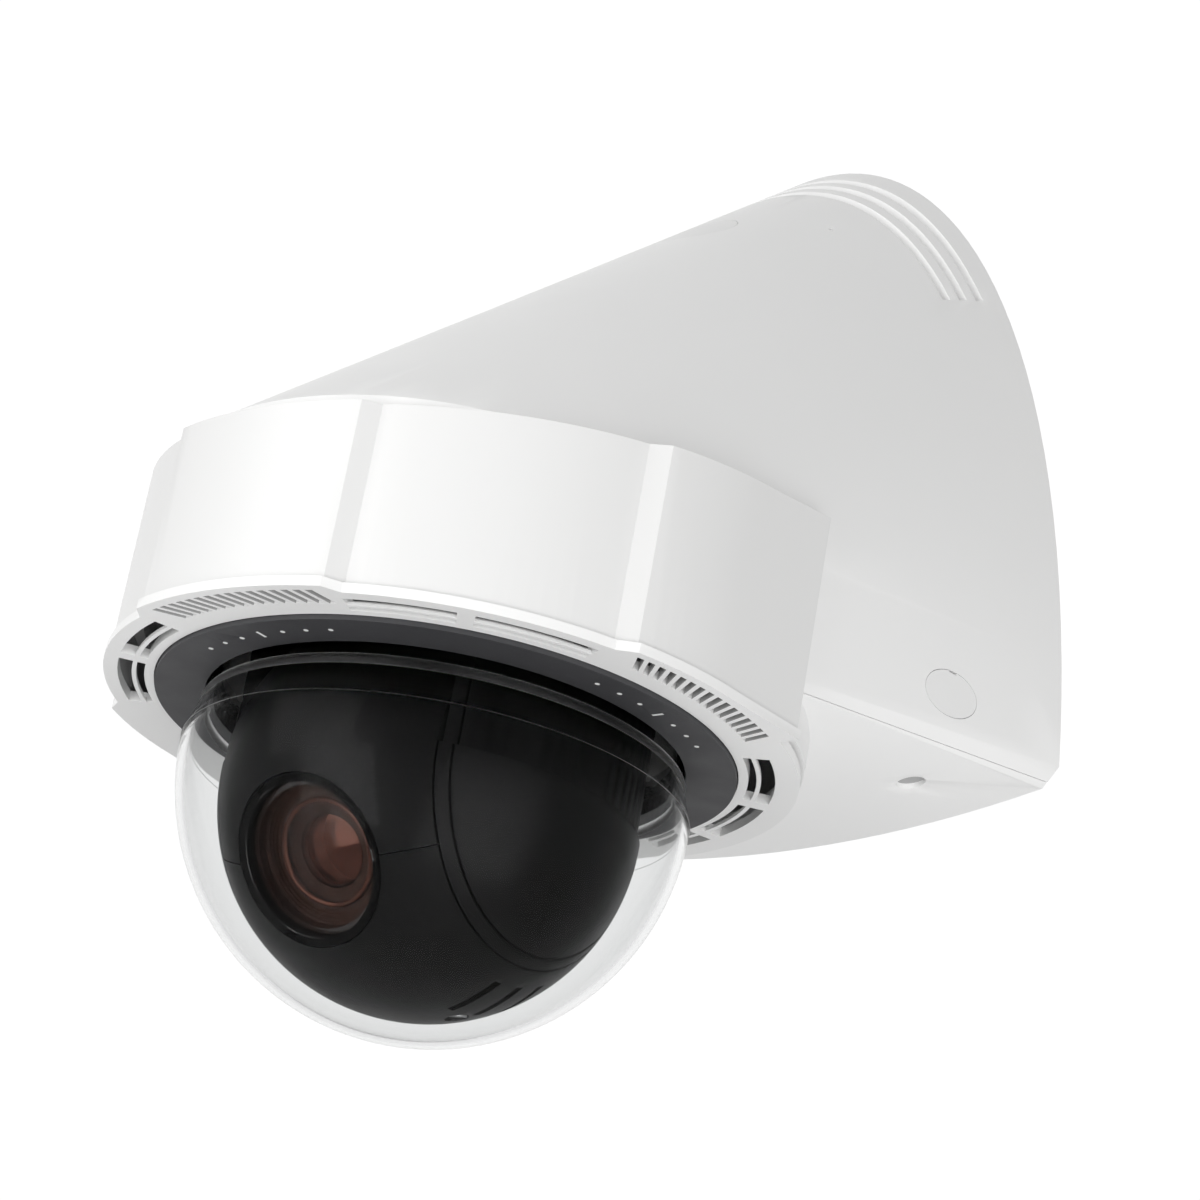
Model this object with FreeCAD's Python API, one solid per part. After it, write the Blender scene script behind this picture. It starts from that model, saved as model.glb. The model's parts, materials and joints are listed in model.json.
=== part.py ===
"""Wall-mounted pan-tilt-zoom dome camera: outdoor housing, clear bubble and a pan and tilt head.

Millimetres. The pan axis is the Z axis, the wall lies on the +Y side and the camera looks toward -Y.
Z = 0 is the lower face of the dark scale ring round the bubble. Angles round the pan axis are
counted from the front (-Y), positive toward +X.
"""
import FreeCAD
import Part
import math
import os

os.makedirs("parts", exist_ok=True)

V = FreeCAD.Vector
X_AXIS = V(1, 0, 0)
Y_AXIS = V(0, 1, 0)
Z_AXIS = V(0, 0, 1)
ORIGIN = V(0, 0, 0)

# ---- driving dimensions: wall side ----
WALL_Y = 119.0            # rear edge of the housing
WALL_HALF_WIDTH = 105.5
WALL_RISE = 239.0         # height of the half-ellipse outline
WALL_CENTRE_Z = -12.0
CORNER_Z = 32.5           # where the side meets the lower corner chamfer
CORNER_IN_X = 99.5
CORNER_IN_Z = 26.5
BELLY_Z = 13.0            # lowest point of the outline at the wall
SKIN = 3.0                # housing wall thickness
FIT = 0.3                 # gap between neighbouring pieces
PLATE_T = 3.0             # wall plate behind the housing
PLATE_Y0 = WALL_Y + FIT
PLATE_Y1 = PLATE_Y0 + PLATE_T
FRAME_Z = 50.0            # height of the saved frame's origin above the scale ring's lower face

# ---- driving dimensions: drum of the housing above the bubble ----
DRUM_R = 84.6
DRUM_Y = 3.4
DRUM_Z = 4.4
DRUM_SLOPE = -0.113       # plane in which the rear of the drum changes into the wall loft
DRUM_MID_Z = 17.4
BROW_SLOPE = -0.10        # plane in which the front of the drum changes into the wall loft
BROW_MID_Z = 45.6
DRUM_CORNER = (87.3, 21.5)      # where the straight side meets the lower corner
DRUM_CORNER_IN = (86.4, 23.5)
DRUM_CORNER_LIFT = 2.6    # height of the soft edge above the seam
DRUM_REAR_Y = 88.2
SIDE_DEG = 72.0           # wall outline angle that faces the front end of the straight side

# ---- driving dimensions: sunshield and trim ring ----
PANEL_R = 88.0
RECESS_R = 84.8
FRONT_PANEL_DEG = 18.5
RECESS_FROM_DEG = 21.2
RECESS_TO_DEG = 64.6
SIDE_PANEL_DEG = 67.6
SHIELD_TURN_DEG = 88.0    # the side panels run straight behind this angle
SHIELD_END_Y = 21.0
SHIELD_FLARE = 2.2
SHIELD_WALL = 2.3
SHIELD_BOTTOM_Z = 4.0
SHIELD_TOP_Z = 57.6
SHIELD_TOP_SLOPE = 0.10
TRIM_LIP = 1.2            # how far the trim ring stands out past the sunshield
TRIM_LOW_Z = 1.2
TRIM_TOP_Z = 3.7
TRIM_IN_R = 73.3
TRIM_REAR_R = 88.3

# ---- driving dimensions: bubble, scale ring, head ----
RING_R = 73.0
RING_IN_R = 60.3
RING_H = 3.4
DOME_R = 63.5
DOME_Z = -13.4
DOME_T = 2.0
BALL_R = 52.0
BALL_Z = -19.0
REST_TILT = 35.0
SLICE_HALF = 33.0         # half width of the tilting slice of the ball
CHEEK_IN = 33.4
LENS_R = 21.0
SHELL_T = 2.0
CHASSIS_Z = 44.0
CHASSIS_T = 3.0


def box(x0, x1, y0, y1, z0, z1):
    return Part.makeBox(x1 - x0, y1 - y0, z1 - z0, V(x0, y0, z0))


def rod(r, a, b):
    """Round bar of radius r from point a to point b."""
    d = b.sub(a)
    return Part.makeCylinder(r, d.Length, a, d)


def tube(r_out, r_in, a, b):
    d = b.sub(a)
    back = d.multiply(0.05)
    return rod(r_out, a, b).cut(rod(r_in, a.sub(back), b.add(back)))


def ring(r_out, r_in, z0, z1):
    return tube(r_out, r_in, V(0, 0, z0), V(0, 0, z1))


def polar(r, deg, z=0.0):
    a = math.radians(deg)
    return V(r * math.sin(a), -r * math.cos(a), z)


def arc(r, d0, d1, z=0.0):
    return Part.Arc(polar(r, d0, z), polar(r, (d0 + d1) / 2, z), polar(r, d1, z)).toShape()


def line(a, b):
    return Part.makeLine(a, b)


def plate(edges, z0, z1):
    """Flat piece over a closed outline drawn at height z0."""
    return Part.Face(Part.Wire(edges)).extrude(V(0, 0, z1 - z0))


def sector(r_in, r_out, d0, d1, z0, z1, slant=0.0):
    """Part of a ring between two angles; slant turns the inner end of both sides."""
    a0 = polar(r_in, d0 + slant, z0)
    a1 = polar(r_in, d1 + slant, z0)
    b0 = polar(r_out, d0, z0)
    b1 = polar(r_out, d1, z0)
    edges = [arc(r_in, d0 + slant, d1 + slant, z0), line(a1, b1), arc(r_out, d1, d0, z0), line(b0, a0)]
    return plate(edges, z0, z1)


def revolve(points):
    """Solid of revolution round the pan axis from (radius, height) corners."""
    corners = [V(r, 0, z) for r, z in points]
    face = Part.Face(Part.makePolygon(corners + [corners[0]]))
    return face.revolve(ORIGIN, Z_AXIS, 360)


def below_plane(z_at_axis, slope):
    """Half space under the plane z = z_at_axis + slope * y, as a large wedge."""
    far = 400.0
    low = -400.0
    corners = [V(-far, -far, low), V(-far, far, low), V(-far, far, z_at_axis + slope * far),
               V(-far, -far, z_at_axis - slope * far)]
    return Part.Face(Part.makePolygon(corners + [corners[0]])).extrude(V(2 * far, 0, 0))


def mirror_x(shape):
    return shape.mirror(ORIGIN, X_AXIS)


def both(shape):
    return shape.fuse(mirror_x(shape))


def group(shapes):
    return Part.makeCompound(shapes)


def posed(shape):
    """Moves a head piece built level round the tilt axis at the origin to its place at rest."""
    out = shape.copy()
    out.rotate(ORIGIN, X_AXIS, REST_TILT)
    out.translate(V(0, 0, BALL_Z))
    return out


def save(name, shape):
    """Writes one piece, measured from the centre of the wall face instead of the scale ring."""
    placed = shape.copy()
    placed.translate(V(0, -PLATE_Y1, -FRAME_Z))
    placed.exportStep("parts/" + name + ".step")


# ---- housing: drum below, loft to the wall outline behind ----
def on_drum(x, y, flat_z=None, mid_z=DRUM_MID_Z, slope=DRUM_SLOPE):
    """Point of the drum outline, in a sloping plane or at a given height."""
    return V(x, y, mid_z + slope * (y - DRUM_Y) if flat_z is None else flat_z)


def on_brow(x, y, flat_z):
    return on_drum(x, y, flat_z, BROW_MID_Z, BROW_SLOPE)


def drum_wire(inset, flat_z=None):
    """Drum outline: round in front, straight sides, wide arc behind."""
    r = DRUM_R - inset
    centre = on_brow(0, DRUM_Y, flat_z)
    front = on_brow(0, DRUM_Y - r, flat_z)
    flank = on_brow(r, DRUM_Y, flat_z)
    ell = Part.Ellipse(front, flank, centre) if flat_z is None else Part.Circle(centre, Z_AXIS, r)
    if flat_z is None:
        right_arc = Part.ArcOfEllipse(ell, 0, math.pi / 2).toShape()
        left_arc = Part.ArcOfEllipse(ell, 1.5 * math.pi, 2 * math.pi).toShape()
    else:
        right_arc = Part.ArcOfCircle(ell, 1.5 * math.pi, 2 * math.pi).toShape()
        left_arc = Part.ArcOfCircle(ell, math.pi, 1.5 * math.pi).toShape()
    lift = DRUM_CORNER_LIFT if flat_z is None else 0.0
    corner = on_drum(DRUM_CORNER[0] - inset, DRUM_CORNER[1], flat_z).add(V(0, 0, lift))
    corner_in = on_drum(DRUM_CORNER_IN[0] - inset, DRUM_CORNER_IN[1], flat_z)
    rear = on_drum(0, DRUM_REAR_Y - inset, flat_z)
    flip = [V(-p.x, p.y, p.z) for p in (flank, corner, corner_in)]
    return Part.Wire([right_arc, line(flank, corner), line(corner, corner_in),
                      Part.Arc(corner_in, rear, flip[2]).toShape(), line(flip[2], flip[1]),
                      line(flip[1], flip[0]), left_arc])


def wall_wire(inset, y):
    half = WALL_HALF_WIDTH - inset
    rise = WALL_RISE - inset
    centre = V(0, y, WALL_CENTRE_Z)
    ell = Part.Ellipse(centre.add(V(0, 0, rise)), centre.add(V(half, 0, 0)), centre)
    t = math.acos((CORNER_Z - WALL_CENTRE_Z) / rise)
    m = math.radians(SIDE_DEG)
    side = V(half * math.sin(t), y, CORNER_Z)
    inner = V(CORNER_IN_X - inset, y, CORNER_IN_Z + 0.7 * inset)
    belly = V(0, y, BELLY_Z + inset)
    side_l = V(-side.x, y, side.z)
    inner_l = V(-inner.x, y, inner.z)
    full = 2 * math.pi
    return Part.Wire([Part.ArcOfEllipse(ell, 0, m).toShape(), Part.ArcOfEllipse(ell, m, t).toShape(),
                      line(side, inner), Part.Arc(inner, belly, inner_l).toShape(), line(inner_l, side_l),
                      Part.ArcOfEllipse(ell, full - t, full - m).toShape(),
                      Part.ArcOfEllipse(ell, full - m, full).toShape()])


def housing_body(inset, z0, y):
    """Closed volume of the housing, pulled in by inset, from height z0 to the plane of the wall."""
    return Part.makeLoft([drum_wire(inset, z0), drum_wire(inset), wall_wire(inset, y)], True, True)


SEAM_Y = 14.0             # the lower cover starts behind the ends of the sunshield
SHELL_FRONT_Z = 16.0      # the shell stops here behind the sunshield, clear of the grilles
SEAM_Z = 14.0
SEAM_SLOPE = 0.135
PLUG_LONG_R = 9.9         # half length of the oval knock-outs in both sides
PLUG_SHORT_R = 6.0
PLUG_AT = V(96.2, 75.8, 35.6)
PLUG_AXIS = V(0.985, -0.17, 0.05)
TOP_PLUG_R = 12.0
TOP_PLUG_AT = V(0, 63.0, 175.8)
TOP_PLUG_AXIS = V(0, -0.675, 0.738)
PIN_HOLE_R = 0.7
PIN_HOLE_AT = V(33.1, 79.2, 181.4)
PIN_HOLE_AXIS = V(0.44, -0.59, 0.68)
DIMPLE_R = 3.7            # blind locating dimples in the lower cover
DIMPLE_AT = V(78.6, 89.7, 20.0)
DIMPLE_DEPTH = 1.9
GROOVE_COUNT = 3
GROOVE_PITCH = 6.4
GROOVE_W = 3.0
GROOVE_DEPTH = 1.7
GROOVE_HALF_DEG = 19.5

outer = housing_body(0.0, DRUM_Z, WALL_Y)
inner = housing_body(SKIN, DRUM_Z - 5.0, WALL_Y + 0.5)
skin = outer.cut(inner)

seam_zone = below_plane(SEAM_Z - SEAM_SLOPE * SEAM_Y, SEAM_SLOPE)
behind = box(-200, 200, SEAM_Y, 200, -200, 300)
cover_zone = seam_zone.common(behind)
gap_zone = below_plane(SEAM_Z - SEAM_SLOPE * SEAM_Y + FIT, SEAM_SLOPE)
gap_zone = gap_zone.common(box(-200, 200, SEAM_Y - FIT, 200, -200, 300))


groove_floor = housing_body(GROOVE_DEPTH, DRUM_Z, WALL_Y + 1.0)


def vent_groove(index):
    """Shallow groove across the crown of the housing, parallel to the wall."""
    y1 = WALL_Y - 7.5 - index * GROOVE_PITCH
    y0 = y1 - GROOVE_W
    reach = 300.0
    foot = V(0, y0, WALL_CENTRE_Z)
    spread = math.tan(math.radians(GROOVE_HALF_DEG)) * reach
    tips = [foot, foot.add(V(spread, 0, reach)), foot.add(V(-spread, 0, reach))]
    wedge = Part.Face(Part.makePolygon(tips + [foot])).extrude(V(0, y1 - y0, 0))
    return wedge.cut(groove_floor)


def bore(at, axis, r, depth):
    d = V(axis).normalize()
    return rod(r, at.sub(V(d).multiply(depth)), at.add(V(d).multiply(depth)))


def oval_bore(gap):
    """Oval prism through the right side wall, its length parallel to the seam."""
    axis = V(PLUG_AXIS).normalize()
    length = V(0, 1, SEAM_SLOPE)
    length = length.sub(V(axis).multiply(length.dot(axis))).normalize()
    height = axis.cross(length)
    at = PLUG_AT.sub(V(axis).multiply(PLUG_DEPTH))
    tip = at.add(V(length).multiply(PLUG_LONG_R + gap))
    crown = at.add(V(height).multiply(PLUG_SHORT_R + gap))
    oval = Part.Face(Part.Wire([Part.Ellipse(tip, crown, at).toShape()]))
    return oval.extrude(axis.multiply(2 * PLUG_DEPTH))


PLUG_DEPTH = 12.0
PLUG_GAP = 0.15
NOTCH_W = 2.8
NOTCH_H = 1.0
plug_bore = oval_bore(PLUG_GAP)
pry_notch = box(-PLUG_DEPTH, PLUG_DEPTH, -NOTCH_W / 2, NOTCH_W / 2, -NOTCH_H / 2, NOTCH_H / 2)
pry_notch.translate(PLUG_AT.add(V(0, 0, PLUG_SHORT_R)))
top_bore = bore(TOP_PLUG_AT, TOP_PLUG_AXIS, TOP_PLUG_R + PLUG_GAP, 16)
pin_hole = bore(PIN_HOLE_AT, PIN_HOLE_AXIS, PIN_HOLE_R, 8)

shell = skin.cut(gap_zone)
grooves = [vent_groove(i) for i in range(GROOVE_COUNT)]
for cutter in grooves + [plug_bore, mirror_x(plug_bore), top_bore, pin_hole]:
    shell = shell.cut(cutter)
shell = shell.cut(box(-200, 200, -200, SEAM_Y - FIT, -10, SHELL_FRONT_Z))
save("housing_shell", shell)

dimple_floor = housing_body(DIMPLE_DEPTH, DRUM_Z - 5.0, WALL_Y + 0.5)
cover = skin.common(cover_zone)
for sign in (-1, 1):
    dimple = rod(DIMPLE_R, V(sign * DIMPLE_AT.x, DIMPLE_AT.y, -20), V(sign * DIMPLE_AT.x, DIMPLE_AT.y, 60))
    cover = cover.cut(dimple.cut(dimple_floor))
save("bottom_cover", cover)


side_plug = skin.common(oval_bore(0.0)).cut(pry_notch)
save("side_plug_right", side_plug)
save("side_plug_left", mirror_x(side_plug))
save("top_plug", skin.common(bore(TOP_PLUG_AT, TOP_PLUG_AXIS, TOP_PLUG_R, 16)))


# ---- sunshield band with two recessed panels ----
def shield_outline(off, z):
    """Open outline of the band from its left end to its right end, as edges in order."""
    p = PANEL_R + off
    q = RECESS_R + off
    stops = [(p, SHIELD_TURN_DEG), (p, SIDE_PANEL_DEG), (q, RECESS_TO_DEG), (q, RECESS_FROM_DEG),
             (p, FRONT_PANEL_DEG)]
    stops = [(r, -d) for r, d in stops] + [(r, d) for r, d in reversed(stops)]
    edges = [line(shield_end(off, z, -1), polar(p, -SHIELD_TURN_DEG, z))]
    for (r0, d0), (r1, d1) in zip(stops, stops[1:]):
        same = abs(r0 - r1) < 1e-6
        edges.append(arc(r0, d0, d1, z) if same else line(polar(r0, d0, z), polar(r1, d1, z)))
    edges.append(line(polar(p, SHIELD_TURN_DEG, z), shield_end(off, z, 1)))
    return edges


def shield_end(off, z, sign):
    """Rear corner of the band, past which its side runs straight."""
    return V(sign * (PANEL_R + off + SHIELD_FLARE), SHIELD_END_Y, z)


def band_face(off, inner_edges, inner_a, inner_b, z0, z1):
    """Piece between the band outline and a set of inner edges that run from inner_a to inner_b."""
    sides = [line(shield_end(off, z0, -1), inner_a), line(shield_end(off, z0, 1), inner_b)]
    return plate(Part.__sortEdges__(shield_outline(off, z0) + inner_edges + sides), z0, z1)


SHIELD_ROOF = 3.0
SHIELD_ROOF_R = 66.0
SHIELD_BLOCK_TOP = 75.0
low = SHIELD_BOTTOM_Z
inner_left = shield_end(-SHIELD_WALL, low, -1)
inner_right = shield_end(-SHIELD_WALL, low, 1)
band = band_face(0.0, shield_outline(-SHIELD_WALL, low), inner_left, inner_right, low, SHIELD_BLOCK_TOP)
roof_left = V(-SHIELD_ROOF_R, SHIELD_END_Y, low)
roof_right = V(SHIELD_ROOF_R, SHIELD_END_Y, low)
roof_arc = Part.Arc(roof_left, V(0, -SHIELD_ROOF_R, low), roof_right).toShape()
roof = band_face(0.0, [roof_arc], roof_left, roof_right, low, SHIELD_BLOCK_TOP)
roof = roof.cut(below_plane(SHIELD_TOP_Z - SHIELD_ROOF, SHIELD_TOP_SLOPE))
shield = band.fuse(roof).common(below_plane(SHIELD_TOP_Z, SHIELD_TOP_SLOPE))
shield_gap = housing_body(-0.05, DRUM_Z - 1.0, WALL_Y)
shield = shield.cut(shield_gap)
shield = max(shield.Solids, key=lambda s: s.Volume)
save("sunshield", shield)


# ---- trim ring under the sunshield: grilles, slots and a rear rim ----
GRILLE_IN_R = 79.3
GRILLE_OUT_R = 86.6
GRILLE_FINS = 16
GRILLE_HALF_DEG = 17.0
GRILLE_SLOT_DEG = 1.25
GRILLE_SLANT = 2.4
SLOT_IN_R = 75.7
SLOT_OUT_R = 82.4
SLOT_RIB_R = 78.3
SLOT_RIB_W = 1.1
SLOT_RIB_Z = 2.1
SIDE_GRILLE_DEG = 85.0
SLOT_SPANS = [(20.6, 39.3), (42.3, 63.0), (112.0, 134.5), (138.0, 157.0), (160.0, 172.0)]

rear_x = math.sqrt(TRIM_REAR_R ** 2 - SHIELD_END_Y ** 2)
rear_left = V(-rear_x, SHIELD_END_Y, TRIM_LOW_Z)
rear_right = V(rear_x, SHIELD_END_Y, TRIM_LOW_Z)
rear_arc = Part.Arc(rear_left, V(0, TRIM_REAR_R, TRIM_LOW_Z), rear_right).toShape()
trim = band_face(TRIM_LIP, [rear_arc], rear_left, rear_right, TRIM_LOW_Z, TRIM_TOP_Z)
trim = trim.cut(Part.makeCylinder(TRIM_IN_R, 20, V(0, 0, -5)))

cut_low = TRIM_LOW_Z - 2
cut_high = TRIM_TOP_Z + 2
openings = []
for start, stop in SLOT_SPANS:
    slot = sector(SLOT_IN_R, SLOT_OUT_R, start, stop, cut_low, cut_high)
    rib = sector(SLOT_RIB_R - SLOT_RIB_W / 2, SLOT_RIB_R + SLOT_RIB_W / 2, start - 1, stop + 1,
                 cut_low, SLOT_RIB_Z)
    slot = slot.cut(rib)
    openings += [slot, mirror_x(slot)]
fin_step = 2 * GRILLE_HALF_DEG / GRILLE_FINS
for centre in (0.0, SIDE_GRILLE_DEG):
    for k in range(GRILLE_FINS):
        d = centre - GRILLE_HALF_DEG + fin_step * (k + 0.5)
        openings.append(sector(GRILLE_IN_R, GRILLE_OUT_R, d - GRILLE_SLOT_DEG / 2, d + GRILLE_SLOT_DEG / 2,
                               cut_low, cut_high, GRILLE_SLANT))
trim = trim.cut(group(openings))
save("trim_ring", trim)

# ---- dark scale ring with knurled bore, and its printed marks ----
KNURLS = 90
KNURL_W = 1.6
KNURL_D = 1.0
scale = ring(RING_R, RING_IN_R, 0.0, RING_H)
knurl = box(-KNURL_W / 2, KNURL_W / 2, -RING_IN_R - KNURL_D, -RING_IN_R + 1, 0.6, RING_H + 1)
cuts = []
for k in range(KNURLS):
    tooth = knurl.copy()
    tooth.rotate(ORIGIN, Z_AXIS, 360.0 * k / KNURLS)
    cuts.append(tooth)
scale = scale.cut(group(cuts))

MARK_R = 66.7
MARK_DEEP = 0.4
DOT_R = 0.62
TICK_L = 3.2
TICK_W = 0.75
MARK_STEP = 5.75
TICK_DEGS = (-3.5, 87.5, 178.5, 269.5)
marks = []
for tick in TICK_DEGS:
    bar = box(-TICK_W / 2, TICK_W / 2, -MARK_R - TICK_L / 2, -MARK_R + TICK_L / 2, 0.0, MARK_DEEP)
    bar.rotate(ORIGIN, Z_AXIS, tick)
    marks.append(bar)
    for k in (-3, -2, -1, 1, 2, 3):
        marks.append(Part.makeCylinder(DOT_R, MARK_DEEP, polar(MARK_R, tick + k * MARK_STEP, 0.0)))
save("scale_marks", group(marks))
scale = scale.cut(group(marks))
save("scale_ring", scale)

# ---- clear bubble: lower half sphere, short taper, collar and flange above the scale ring ----
COLLAR_R = 59.6
COLLAR_TOP = 5.4
FLANGE_R = 66.0
FLANGE_Z = 3.7
bubble_in = DOME_R - DOME_T
profile = [
    Part.Arc(V(0, 0, DOME_Z - DOME_R), V(DOME_R * math.sin(math.pi / 4), 0, DOME_Z - DOME_R * math.cos(math.pi / 4)),
             V(DOME_R, 0, DOME_Z)).toShape(),
    line(V(DOME_R, 0, DOME_Z), V(COLLAR_R, 0, -1.0)),
    line(V(COLLAR_R, 0, -1.0), V(COLLAR_R, 0, FLANGE_Z)),
    line(V(COLLAR_R, 0, FLANGE_Z), V(FLANGE_R, 0, FLANGE_Z)),
    line(V(FLANGE_R, 0, FLANGE_Z), V(FLANGE_R, 0, COLLAR_TOP)),
    line(V(FLANGE_R, 0, COLLAR_TOP), V(COLLAR_R - DOME_T, 0, COLLAR_TOP)),
    line(V(COLLAR_R - DOME_T, 0, COLLAR_TOP), V(COLLAR_R - DOME_T, 0, -1.0)),
    line(V(COLLAR_R - DOME_T, 0, -1.0), V(bubble_in, 0, DOME_Z)),
    Part.Arc(V(bubble_in, 0, DOME_Z), V(bubble_in * math.sin(math.pi / 4), 0,
             DOME_Z - bubble_in * math.cos(math.pi / 4)), V(0, 0, DOME_Z - bubble_in)).toShape(),
    line(V(0, 0, DOME_Z - bubble_in), V(0, 0, DOME_Z - DOME_R)),
]
bubble = Part.Face(Part.Wire(profile)).revolve(ORIGIN, Z_AXIS, 360)
save("dome_bubble", bubble)

GASKET_TOP = 7.4
save("dome_gasket", ring(FLANGE_R, COLLAR_R, COLLAR_TOP, GASKET_TOP))

CLAMP_R = 74.0
CLAMP_TOP = 9.6
CLAMP_SCREWS = 6
CLAMP_SCREW_R = 69.5
clamp = ring(CLAMP_R, COLLAR_R, GASKET_TOP, CLAMP_TOP)
clamp = clamp.fuse(ring(RING_R, FLANGE_R + 1.0, RING_H, GASKET_TOP))
screw_degs = [20 + k * 360.0 / CLAMP_SCREWS for k in range(CLAMP_SCREWS)]
for d in screw_degs:
    clamp = clamp.cut(rod(1.6, polar(CLAMP_SCREW_R, d, 0), polar(CLAMP_SCREW_R, d, 20)))
save("dome_clamp_ring", clamp)
screws = []
for d in screw_degs:
    shank = rod(1.45, polar(CLAMP_SCREW_R, d, RING_H + 0.2), polar(CLAMP_SCREW_R, d, CLAMP_TOP))
    head = rod(2.8, polar(CLAMP_SCREW_R, d, CLAMP_TOP), polar(CLAMP_SCREW_R, d, CLAMP_TOP + 1.8))
    slot = box(-0.5, 0.5, -4, 4, CLAMP_TOP + 0.9, CLAMP_TOP + 3)
    slot.translate(polar(CLAMP_SCREW_R, d))
    screws.append(shank.fuse(head).cut(slot))
save("clamp_screws", group(screws))

# ---- chassis plate on posts, pan bearing, motor and belt ----
POST_R = 3.0
POST_AT = 67.5
POST_DEGS = (50.0, 110.0, 180.0, 250.0, 310.0)
BEARING_R = 18.0
HUB_R = 12.0
chassis_top = CHASSIS_Z + CHASSIS_T
CHASSIS_R = 71.0
CHASSIS_FRONT_Y = -56.0
PAN_MOTOR = V(24.0, 46.0, 0)
PAN_PULLEY_R = 26.0
PAN_PINION_R = 6.0
chassis = Part.makeCylinder(CHASSIS_R, CHASSIS_T, V(0, 0, CHASSIS_Z))
chassis = chassis.cut(box(-100, 100, -100, CHASSIS_FRONT_Y, 0, 100))
chassis = chassis.cut(Part.makeCylinder(BEARING_R + 0.05, 20, V(0, 0, CHASSIS_Z - 5)))
for d in (45, 135, 225, 315):
    chassis = chassis.cut(rod(8.0, polar(50, d, CHASSIS_Z - 1), polar(50, d, chassis_top + 1)))
chassis = chassis.cut(rod(3.2, V(PAN_MOTOR.x, PAN_MOTOR.y, 30), V(PAN_MOTOR.x, PAN_MOTOR.y, 60)))
save("chassis_plate", chassis)
posts = []
for d in POST_DEGS:
    posts.append(rod(POST_R, polar(POST_AT, d, CLAMP_TOP), polar(POST_AT, d, CHASSIS_Z)))
save("chassis_posts", group(posts))
save("pan_bearing", ring(BEARING_R, HUB_R + 0.05, CHASSIS_Z - 0.5, chassis_top + 1.5))

PULLEY_Z0 = 51.0
PULLEY_Z1 = 56.0


def toothed_pulley(r, teeth, z0, z1, depth=0.8):
    """Belt pulley with square notches between two thin flanges."""
    body = Part.makeCylinder(r, z1 - z0, V(0, 0, z0))
    notch = box(-0.35 * math.pi * r / teeth, 0.35 * math.pi * r / teeth, -r - 1, -r + depth, z0 - 1, z1 + 1)
    cutters = []
    for k in range(teeth):
        c = notch.copy()
        c.rotate(ORIGIN, Z_AXIS, 360.0 * k / teeth)
        cutters.append(c)
    body = body.cut(group(cutters))
    low = Part.makeCylinder(r + 1.2, 0.8, V(0, 0, z0 - 0.8))
    high = Part.makeCylinder(r + 1.2, 0.8, V(0, 0, z1))
    return body.fuse(low).fuse(high)


def belt(c0, r0, c1, r1, z0, z1, thick=0.9):
    """Flat loop round two pulleys, lying in a plane of constant height."""
    def loop(grow):
        a = r0 + grow
        b = r1 + grow
        span = c1.sub(c0)
        dist = span.Length
        u = V(span).normalize()
        side = V(-u.y, u.x, 0)
        ct = (a - b) / dist
        st = math.sqrt(1 - ct * ct)
        def point(c, r, s, sign):
            return c.add(V(u).multiply(r * ct)).add(V(side).multiply(sign * r * s))
        p0 = point(c0, a, st, 1)
        p1 = point(c1, b, st, 1)
        p2 = point(c1, b, st, -1)
        p3 = point(c0, a, st, -1)
        near = c0.sub(V(u).multiply(a))
        far = c1.add(V(u).multiply(b))
        edges = [line(p0, p1), Part.Arc(p1, far, p2).toShape(), line(p2, p3), Part.Arc(p3, near, p0).toShape()]
        shape = Part.Face(Part.Wire(edges)).extrude(V(0, 0, z1 - z0))
        shape.translate(V(0, 0, z0))
        return shape
    return loop(thick + 0.1).cut(loop(0.1))


hub = ring(HUB_R, 8.5, 40.3, PULLEY_Z0 - 0.8)
pan_pulley = toothed_pulley(PAN_PULLEY_R, 52, PULLEY_Z0, PULLEY_Z1)
pan_pulley = pan_pulley.cut(Part.makeCylinder(8.5, 40, V(0, 0, 40)))
save("pan_pulley", pan_pulley)
pinion = toothed_pulley(PAN_PINION_R, 12, PULLEY_Z0, PULLEY_Z1)
pinion = pinion.fuse(Part.makeCylinder(2.0, 10, V(0, 0, CHASSIS_Z + 1)))
pinion.translate(PAN_MOTOR)
save("pan_motor_pulley", pinion)
MOTOR_Z0 = PULLEY_Z1 + 3.0
motor = Part.makeCylinder(13.0, 20.0, V(0, 0, MOTOR_Z0))
motor = motor.fuse(box(-17, 17, -15, 15, MOTOR_Z0, MOTOR_Z0 + 2.0))
motor = motor.cut(Part.makeCylinder(2.3, 4, V(0, 0, MOTOR_Z0 - 1)))
for sx in (-1, 1):
    leg_x = sx * 14.5
    motor = motor.fuse(rod(2.0, V(leg_x, 12.5, chassis_top), V(leg_x, 12.5, MOTOR_Z0 + 1)))
motor = motor.fuse(rod(2.0, V(14.5, -12.5, chassis_top), V(14.5, -12.5, MOTOR_Z0 + 1)))
motor.translate(PAN_MOTOR)
save("pan_motor", motor)
save("pan_belt", belt(V(0, 0, 0), PAN_PULLEY_R, PAN_MOTOR, PAN_PINION_R, PULLEY_Z0 + 0.4, PULLEY_Z1 - 0.4))

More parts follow.
